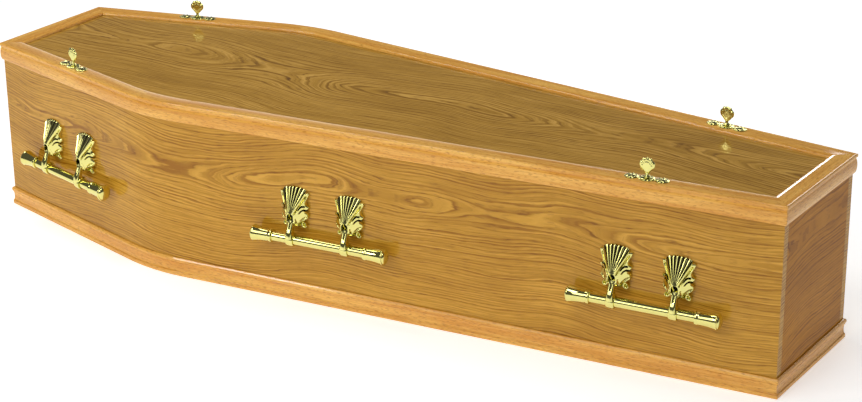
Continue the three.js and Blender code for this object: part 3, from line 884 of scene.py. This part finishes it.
def backplate_mesh():
    """A cast plate: a fluted fan over the socket, with leaves and a curl at each side."""
    per_flute, around, rings = 12, 240, 60
    fan_steps = per_flute * fan_flutes
    turns = [-fan_half_angle + 2 * fan_half_angle * i / fan_steps for i in range(fan_steps)]
    turns += [fan_half_angle + (360 - 2 * fan_half_angle) * i / around for i in range(around)]
    turns = [turn - 360 if turn > 180 else turn for turn in turns]
    angles = len(turns)
    back = -pin_standoff + gap
    points = [(0, (back + plate_height(0, 0, plate_reach[0][1])) * mm, socket_up * mm)]
    painted_shade_shares = [0.0]
    for ring in range(1, rings + 1):
        share = math.sin(math.pi / 2 * ring / rings) ** 0.9
        for angle in turns:
            reach = mixed(plate_reach, abs(angle))
            if abs(angle) < fan_half_angle:
                reach -= scallop_depth * (1 - math.sqrt(1 - 0.96 * flute_wave(angle) ** 2))
            height = plate_height(angle, share * reach, reach)
            painted_shade_shares.append(plate_painted_shade(angle, share * reach))
            turn = math.radians(angle)
            points.append((share * reach * math.sin(turn) * mm, (back + height) * mm,
                           (socket_up + share * reach * math.cos(turn)) * mm))
    rim = len(points) - angles
    points += [(x, back * mm, z) for x, _, z in points[rim:]]
    points.append((0, back * mm, socket_up * mm))
    faces = fan_faces(0, 1, angles) + ring_faces(1, rings + 1, angles)
    faces += fan_faces(len(points) - 1, 1 + rings * angles, angles)
    painted_shade_shares += [0.0] * (len(points) - len(painted_shade_shares))
    mesh = finish_mesh("backplate", points, faces, sharp=60)
    # The painted shade's share at each point rides on the mesh as an attribute
    mesh.attributes.new("painted_shade", "FLOAT", "POINT").data.foreach_set("value", painted_shade_shares)
    mesh.materials.append(brass)
    plate = new_object("plate_blank", mesh)
    # The slot in which the arm's eye turns, open below, and the deeper pocket at its top
    below = -60
    slot = arc((0, socket_up), (socket_radius, socket_radius), 0, 180, 24)
    slot += [(-socket_radius, below), (socket_radius, below)]
    pocket = arc((0, socket_up), (pocket_radius, pocket_radius), 0, 360, 48)[:-1]
    cut_out(plate, slot, -arm_eye - socket_clearance, brass)
    # The pocket is lined with a dark material, painted shade for the deep socket
    cut_out(plate, pocket, back + pocket_floor, socket_painted_shade)
    result = plate.data
    bpy.data.objects.remove(plate)
    result.shade_smooth()
    result.set_sharp_from_angle(angle=math.radians(50))
    return result


def handles():
    bar, arm, plate = bar_mesh(), arm_mesh(), backplate_mesh()
    for joint in frame["joints"]:
        body = joint["child"]
        name = body.removeprefix("handle_")
        along = Vector(joint["axis"])
        out = Vector((0, 0, 1)).cross(along)
        matrix = Matrix((along, out, (0, 0, 1))).transposed().to_4x4()
        matrix.translation = Vector(joint["pos_m"])
        down = Matrix.Translation((0, 0, -arm_drop * mm))
        place(f"bar_{name}", bar, brass, body, f"{body}_bar", matrix @ down)
        for k, edge in ((1, -0.5), (2, 0.5)):
            at_arm = matrix @ Matrix.Translation((edge * arm_spacing * mm, 0, 0))
            place(f"arm_{name}_{k}", arm, brass, body, f"{body}_arm_{k}", at_arm)
            place(f"backplate_{name}_{k}", plate, brass, "case",
                  f"{body}_backplate_{k}", at_arm)


# Lid fittings, in a frame whose X runs along the moulding

# Leaves of the escutcheon: middle along the plate, half length and half width
escutcheon_leaves = [(-31, 14, 12.8), (0, 17, 15), (31, 14, 12.8)]
escutcheon_waist = 5
rib_pitch = 7


def escutcheon_leaf(x):
    """The leaf at a place along the plate, and the share of its half length from its middle."""
    leaf = min(escutcheon_leaves, key=lambda each: abs(x - each[0]) / each[1])
    return leaf, min(1.0, abs(x - leaf[0]) / leaf[1])


def escutcheon_half_width(x):
    """Three leaves with scalloped edges, and the narrow waists between them."""
    leaf, share = escutcheon_leaf(x)
    scallop = abs(math.cos(math.pi * (x - leaf[0]) / rib_pitch))
    return max(escutcheon_waist, leaf[2] * math.sqrt(1 - share * share) * (0.88 + 0.12 * scallop))


def escutcheon_mesh():
    """A cast plate of three domed leaves with ribs fanning to the scallops."""
    stations, rows = 181, 18
    edge, crown, dome_height, rib_height = 0.9, 0.4, 2.0, 0.6
    groove_depth, groove_at, groove_half_width = 1.1, 0.45, 0.12
    half = escutcheon_length / 2
    points = []
    for i in range(stations):
        x = -half + 2 * half * i / (stations - 1)
        width = escutcheon_half_width(x)
        leaf, share = escutcheon_leaf(x)
        dome = math.sqrt(1 - share * share)
        turn = 2 * math.pi * (x - leaf[0]) / rib_pitch
        face = []
        for j in range(rows + 1):
            across = -1 + 2 * j / rows
            ribs = math.cos(turn * (0.3 + 0.7 * abs(across)))
            from_groove = (abs(across) - groove_at) / groove_half_width
            z = gap + edge + (dome_height * dome + crown) * math.sqrt(1 - across ** 4)
            z += rib_height * ribs * smooth(0.1, 0.7, abs(across)) * dome
            z -= groove_depth * math.exp(-from_groove ** 2) * dome
            face.append((x * mm, across * width * mm, z * mm))
        points += face + [(along, over, gap * mm) for along, over, _ in reversed(face)]
    faces = tube_faces(stations, 2 * (rows + 1))
    return finish_mesh("escutcheon", points, faces, sharp=50)


# Thumb-screw shield: reach from its middle at an angle from straight up
shield_reach = [
    (0, 15.2), (17, 14), (33, 15.6), (52, 14.4), (72, 16), (90, 16), (107, 15.4), (130, 13.8),
    (150, 14.4), (163, 16), (170, 17), (180, 17.2),
]
shield_middle = 24.8


def thumb_screw_mesh():
    """A round button and neck under an upright shield with a five-pointed crown."""
    angles, rings = 144, 18
    half_thickness, edge = 2.6, 0.25
    line_depth, line_at, line_half_width = 0.8, 0.55, 0.07
    points, faces = [], []
    for face in (1, -1):
        base = len(points)
        points.append((0, face * half_thickness * mm, shield_middle * mm))
        for ring in range(1, rings + 1):
            share = math.sin(math.pi / 2 * ring / rings)
            for i in range(angles):
                angle = -180 + 360 * i / angles
                reach = mixed(shield_reach, abs(angle))
                crown = smooth(0.5, 0.68, share) * (1 - smooth(84, 96, abs(angle)))
                point_wave = 0.5 + 0.5 * math.cos(2 * math.pi * abs(angle) / 36)
                half = half_thickness * math.sqrt(max(0.0, 1 - share ** 5)) + edge
                half += crown * (0.9 * point_wave - 0.35) * (1 - share ** 6)
                line = math.exp(-((share - line_at) / line_half_width) ** 2)
                half -= line_depth * line * (1 - smooth(80, 100, abs(angle)))
                turn = math.radians(angle)
                points.append((share * reach * math.sin(turn) * mm, face * half * mm,
                               (shield_middle + share * reach * math.cos(turn)) * mm))
        faces += fan_faces(base, base + 1, angles) + ring_faces(base + 1, rings, angles)
    per_face = 1 + rings * angles
    rim = 1 + (rings - 1) * angles
    for i in range(angles):
        j = (i + 1) % angles
        faces.append((rim + i, rim + j, per_face + rim + j, per_face + rim + i))
    button = [(0, 0), (6.1, 0), (6.5, 0.5), (6.5, 2.2), (5.9, 3.2), (4.2, 4.1), (3.4, 5.2),
              (3.2, 6.6), (3.4, 8.4), (3.0, 10.5), (0, 11.5)]
    points, faces = joined((points, faces), lathe(button, 40, "Z"))
    return finish_mesh("thumb_screw", points, faces, sharp=50)


def lid_fittings():
    plate, screw = escutcheon_mesh(), thumb_screw_mesh()
    for side in ("right", "left"):
        for end, bearing in (("head", head_bearing), ("foot", foot_bearing)):
            low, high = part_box(f"lid_screw_plate_{side}_{end}")
            turn = bearing if side == "left" else -bearing
            spin = Matrix.Rotation(turn, 4, "Z")
            middle = (low + high) / 2
            base = Matrix.Translation((middle.x, middle.y, low.z - gap * mm)) @ spin
            place(f"escutcheon_{side}_{end}", plate, brass, "case",
                  f"lid_screw_plate_{side}_{end}", base)
            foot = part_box(f"lid_screw_{side}_{end}")[0].z
            base = Matrix.Translation((middle.x, middle.y, foot)) @ spin
            place(f"thumb_screw_{side}_{end}", screw, brass, "case",
                  f"lid_screw_{side}_{end}", base)


side_boards()
end_boards()
lid_face()
mouldings()
handles()
lid_fittings()
frame["nodes"]["base_board"].data.materials.clear()
frame["nodes"]["base_board"].data.materials.append(chipboard)


# Studio: white paper under the case, softboxes round it and a pale wall low down behind

def direction(azimuth, elevation):
    """Unit vector away from the case. Azimuth 0 is in front of the near side, 90 at the foot."""
    a, e = math.radians(azimuth), math.radians(elevation)
    return Vector((math.sin(a) * math.cos(e), -math.cos(a) * math.cos(e), math.sin(e)))


def pale_floor():
    """Seamless white paper, lit a little from below as on a light table."""
    material, tree = new_material("pale_floor")
    finish_material(tree, add(tree, "BsdfPrincipled", {
        "Base Color": linear("f6f6f4"), "Roughness": 0.8, "Specular IOR Level": 0.1,
        "Emission Color": linear("ffffff"), "Emission Strength": 0.47,
    }))
    half_size = 15
    below = -0.0005
    corners = [(-half_size, -half_size), (half_size, -half_size), (half_size, half_size),
               (-half_size, half_size)]
    mesh = bpy.data.meshes.new("floor")
    mesh.from_pydata([(x, y, below) for x, y in corners], [], [(0, 1, 2, 3)])
    mesh.materials.append(material)
    new_object("floor", mesh)


def soft_light(name, azimuth, elevation, distance, width, height, power):
    """A softbox aimed at the middle of the case."""
    light = bpy.data.lights.new(name, "AREA")
    light.shape = "RECTANGLE"
    light.size, light.size_y = width, height
    light.energy = power
    lamp = new_object(name, light)
    towards = direction(azimuth, elevation)
    lamp.location = Vector((0, 0, 0.3)) + towards * distance
    lamp.rotation_euler = towards.to_track_quat("Z", "Y").to_euler()


def surroundings():
    """A dark studio, with a pale wall low down behind the case."""
    world = bpy.data.worlds.new("studio")
    world.use_nodes = True
    tree = world.node_tree
    tree.nodes.clear()
    towards = add(tree, "SeparateXYZ", {0: add(tree, "TexCoord").outputs["Generated"]})
    low = add(tree, "MapRange", {
        0: towards.outputs[2], 1: math.sin(math.radians(10)), 2: math.sin(math.radians(17)),
        3: 1.0, 4: 0.0,
    }, interpolation_type="SMOOTHSTEP")
    behind = add(tree, "MapRange", {0: towards.outputs[1], 1: 0.1, 2: 0.5, 3: 0.0, 4: 1.0},
                 interpolation_type="SMOOTHSTEP")
    wall = add(tree, "Math", {0: low, 1: behind}, operation="MULTIPLY")
    colour = add(tree, "Mix", {0: wall, 6: (0.1, 0.1, 0.105, 1), 7: (1.0, 1.0, 1.0, 1)},
                 data_type="RGBA")
    shade = add(tree, "Background", {"Color": colour.outputs[2], "Strength": 1.0})
    add(tree, "OutputWorld", {"Surface": shade})
    bpy.context.scene.world = world


def camera():
    """The photograph's view: azimuth 33.1 degrees, elevation 21.5, turned half a degree."""
    azimuth, elevation, roll = 33.069, 21.507, math.radians(-0.538)
    back = direction(azimuth, elevation)
    right = direction(azimuth + 90, 0)
    up = back.cross(right)
    across = right * math.cos(roll) + up * math.sin(roll)
    upward = up * math.cos(roll) - right * math.sin(roll)
    data = bpy.data.cameras.new("camera")
    data.sensor_fit = "HORIZONTAL"
    data.sensor_width = 36
    data.lens = 89.48
    data.clip_end = 100
    eye = new_object("camera", data)
    eye.matrix_world = Matrix((across, upward, back)).transposed().to_4x4()
    eye.matrix_world.translation = Vector((2.4034, -3.5563, 1.8386))
    bpy.context.scene.camera = eye


pale_floor()
# Each softbox: azimuth and elevation in degrees, distance, width and height, power in watts
for name, *settings in (
    ("key", -12, 32, 4.25, 2.8, 1.9, 40),
    ("spark", -34, 29, 4.5, 0.9, 0.7, 22),
    ("front", 20, 56, 4.0, 1.6, 1.2, 36),
    ("overhead", -99, 60, 3.6, 1.6, 1.2, 40),
    ("back", 176, 31, 4.5, 2.0, 1.0, 34),
    ("low_back", -162, 13.4, 5.0, 0.9, 0.45, 9),
):
    soft_light(name, *settings)
surroundings()
camera()
bpy.context.scene.view_settings.view_transform = "Standard"
bpy.context.scene.view_settings.look = "None"
